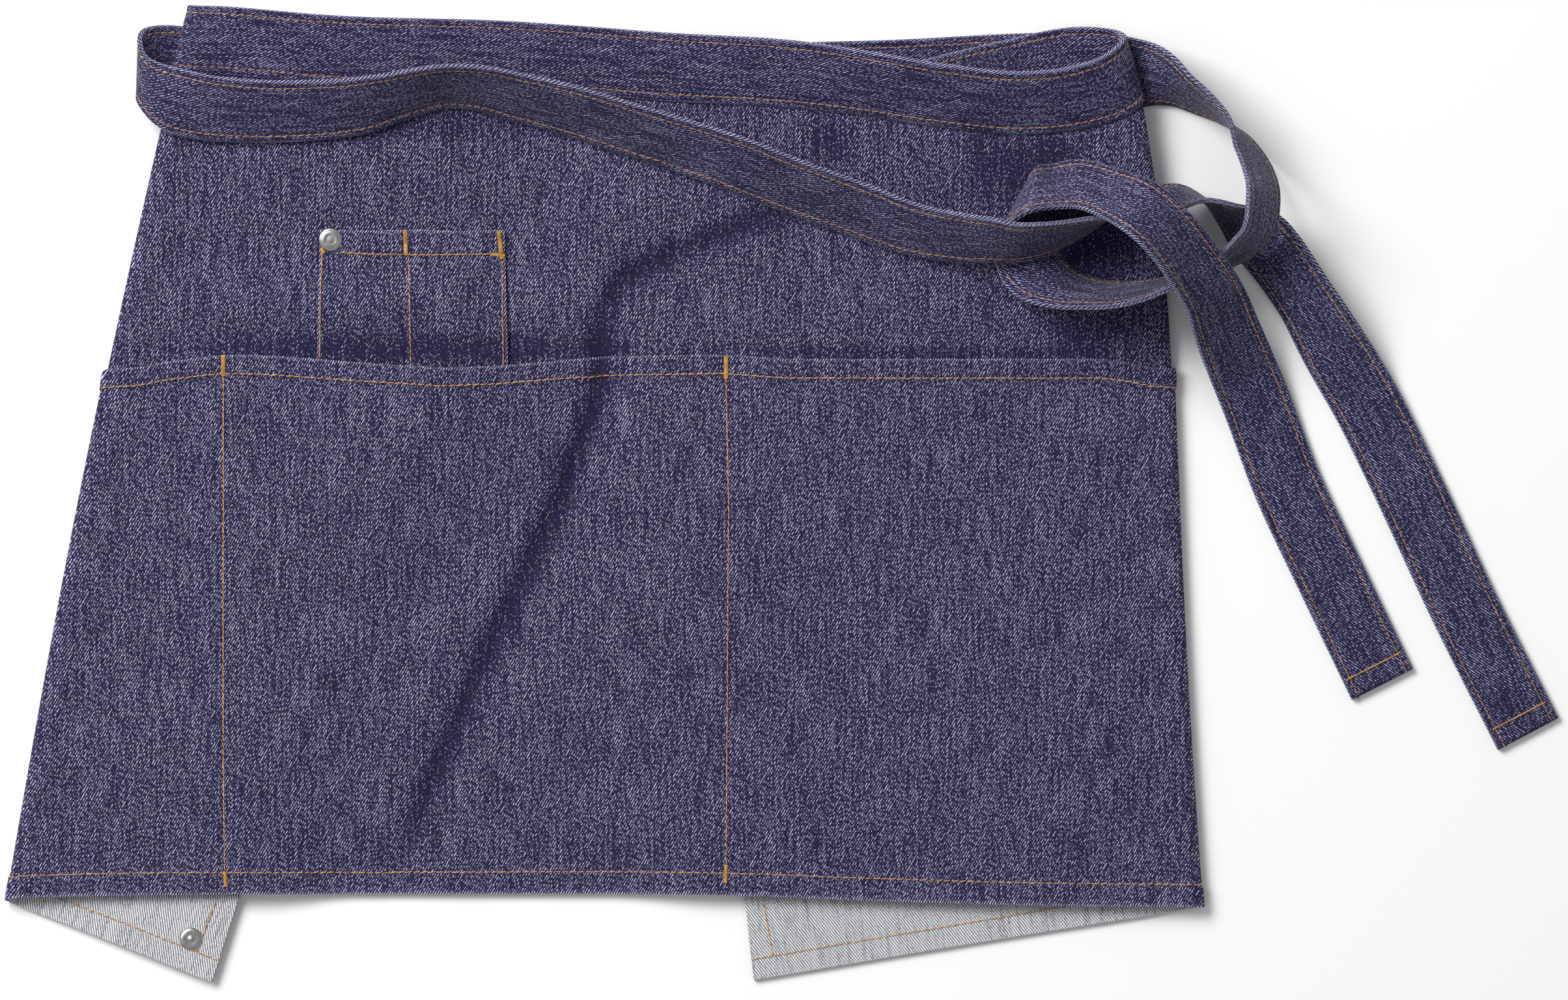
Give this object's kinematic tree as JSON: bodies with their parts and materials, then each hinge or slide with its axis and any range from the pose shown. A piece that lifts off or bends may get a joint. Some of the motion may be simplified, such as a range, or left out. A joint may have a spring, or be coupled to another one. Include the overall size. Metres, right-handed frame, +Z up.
{
  "type": "waist apron",
  "caption": "Denim waist apron lying flat with its sides folded behind, a wide front pocket, a pen pocket, and long ties half knotted at one side.",
  "frame": {"origin": "on the surface that the apron lies on, under the middle of its outline", "axes": "+X to the apron's right as it is seen from above, +Y towards the waistband, +Z up from the surface"},
  "size_m": [0.716, 0.4506, 0.0613],
  "materials": {
    "denim": "raw indigo twill, matt",
    "strap_denim": "raw indigo twill sewn in a flat band, matt",
    "thread": "golden topstitching thread, slight sheen",
    "rivet_metal": "nickel plate, lightly brushed"
  },
  "bodies": {
    "root": {"apron_panel": "denim", "front_pocket": "denim", "pen_pocket": "denim", "waistband": "strap_denim", "tie_left": "strap_denim", "tie_right": "strap_denim", "pen_pocket_rivet": "rivet_metal", "corner_rivet": "rivet_metal"}
  },
  "joints": []
}
